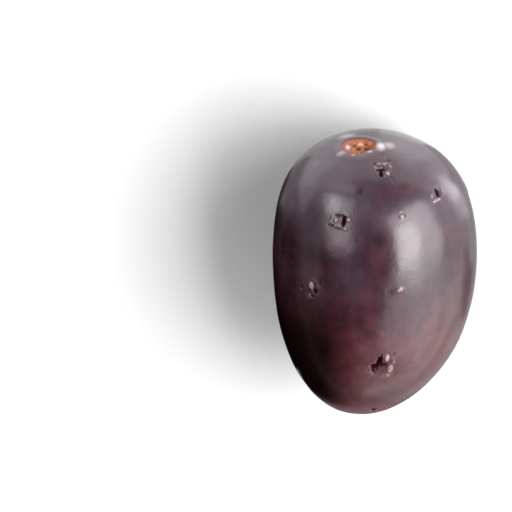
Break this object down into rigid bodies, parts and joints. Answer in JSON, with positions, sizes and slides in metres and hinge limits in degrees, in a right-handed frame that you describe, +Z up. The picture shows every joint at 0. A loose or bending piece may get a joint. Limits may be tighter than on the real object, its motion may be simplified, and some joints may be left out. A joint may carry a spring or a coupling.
{
  "type": "java plum",
  "caption": "Whole ripe java plum lying on its side, oblong and slightly bowed, with a cupped scar at its blunt end and small pitted marks in its waxy dark skin.",
  "frame": {"origin": "on the surface that the fruit rests on, under the centre of its box", "axes": "+Z up, +X along the fruit towards its scar end"},
  "size_m": [0.0326, 0.022, 0.0219],
  "materials": {
    "skin": "satin, waxy bloom over deep purple-black"
  },
  "bodies": {
    "root": {"fruit": "skin"}
  },
  "joints": []
}
